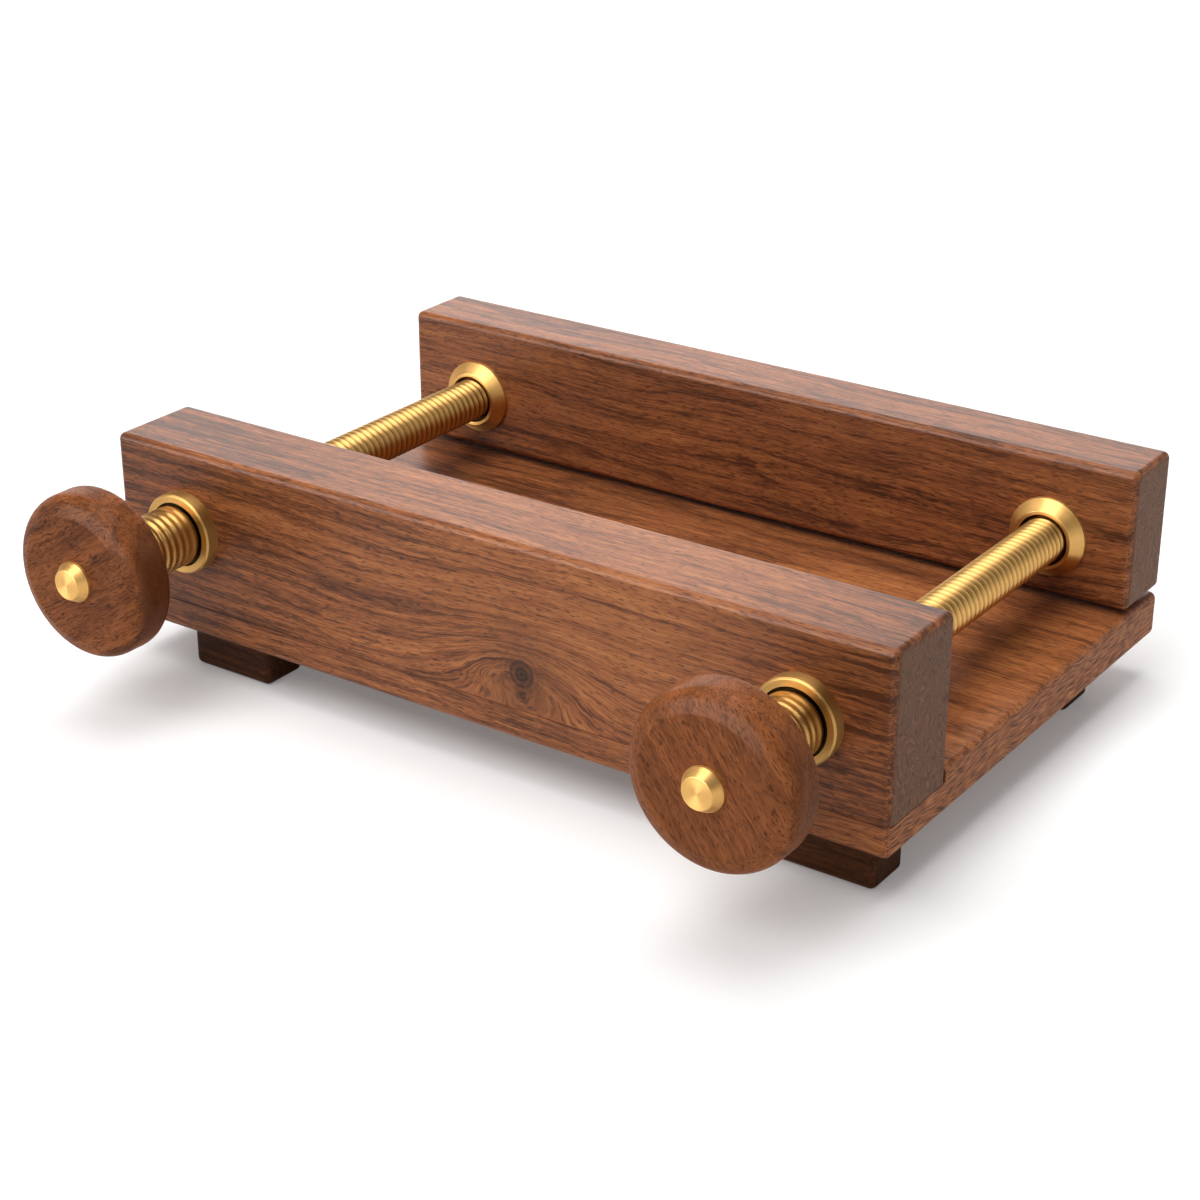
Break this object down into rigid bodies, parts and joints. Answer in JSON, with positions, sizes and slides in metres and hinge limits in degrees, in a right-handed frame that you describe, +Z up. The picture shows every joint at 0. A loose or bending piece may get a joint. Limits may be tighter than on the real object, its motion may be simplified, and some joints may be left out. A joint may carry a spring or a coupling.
{
  "type": "book press",
  "caption": "Walnut bench book press: a fixed front jaw on a footed base board, and a rear jaw drawn forward along brass screws that are turned by round wooden knobs.",
  "frame": {"origin": "on the table, under the middle of the press from its caps to the back of its board", "axes": "+X along the jaws, to the right as seen from the knobs; +Y from the knobs to the rear jaw; +Z up"},
  "size_m": [0.3048, 0.248, 0.083],
  "materials": {
    "walnut": "oiled black walnut, satin",
    "dark_walnut": "oiled dark walnut end blocks, satin",
    "brass": "turned, satin",
    "steel": "bright steel fasteners"
  },
  "bodies": {
    "stand": {"base_board": "walnut", "front_left_foot": "dark_walnut", "front_right_foot": "dark_walnut", "rear_left_foot": "dark_walnut", "rear_right_foot": "dark_walnut", "foot_screws": "steel", "front_jaw": "walnut", "front_jaw_screws": "steel", "left_bush": "brass", "right_bush": "brass", "left_bush_ring": "brass", "right_bush_ring": "brass"},
    "left_screw_unit": {"left_screw": "brass", "left_sleeve": "brass", "left_thrust_collar": "brass", "left_collar_pin": "steel", "left_knob": "walnut", "left_knob_key": "steel", "left_knob_cap": "brass"},
    "right_screw_unit": {"right_screw": "brass", "right_sleeve": "brass", "right_thrust_collar": "brass", "right_collar_pin": "steel", "right_knob": "walnut", "right_knob_key": "steel", "right_knob_cap": "brass"},
    "rear_jaw_unit": {"rear_jaw": "walnut", "left_jaw_nut": "brass", "right_jaw_nut": "brass", "jaw_nut_keys": "steel"}
  },
  "joints": [
    {"name": "left_screw_turn", "type": "hinge", "parent": "stand", "child": "left_screw_unit", "pos_m": [-0.122, -0.0675, 0.054], "axis": [0, 1, 0], "range_deg": [0, 14760]},
    {"name": "right_screw_turn", "type": "hinge", "parent": "stand", "child": "right_screw_unit", "pos_m": [0.122, -0.0675, 0.054], "axis": [0, 1, 0], "range_deg": [0, 14760]},
    {"name": "rear_jaw_slide", "type": "slide", "parent": "stand", "child": "rear_jaw_unit", "axis": [0, -1, 0], "range_m": [0, 0.123]}
  ],
  "couplings": [
    {"joint": "right_screw_turn", "follows": "left_screw_turn", "ratio": 1},
    {"joint": "rear_jaw_slide", "follows": "left_screw_turn", "m_per_rad": 0.00047746}
  ]
}
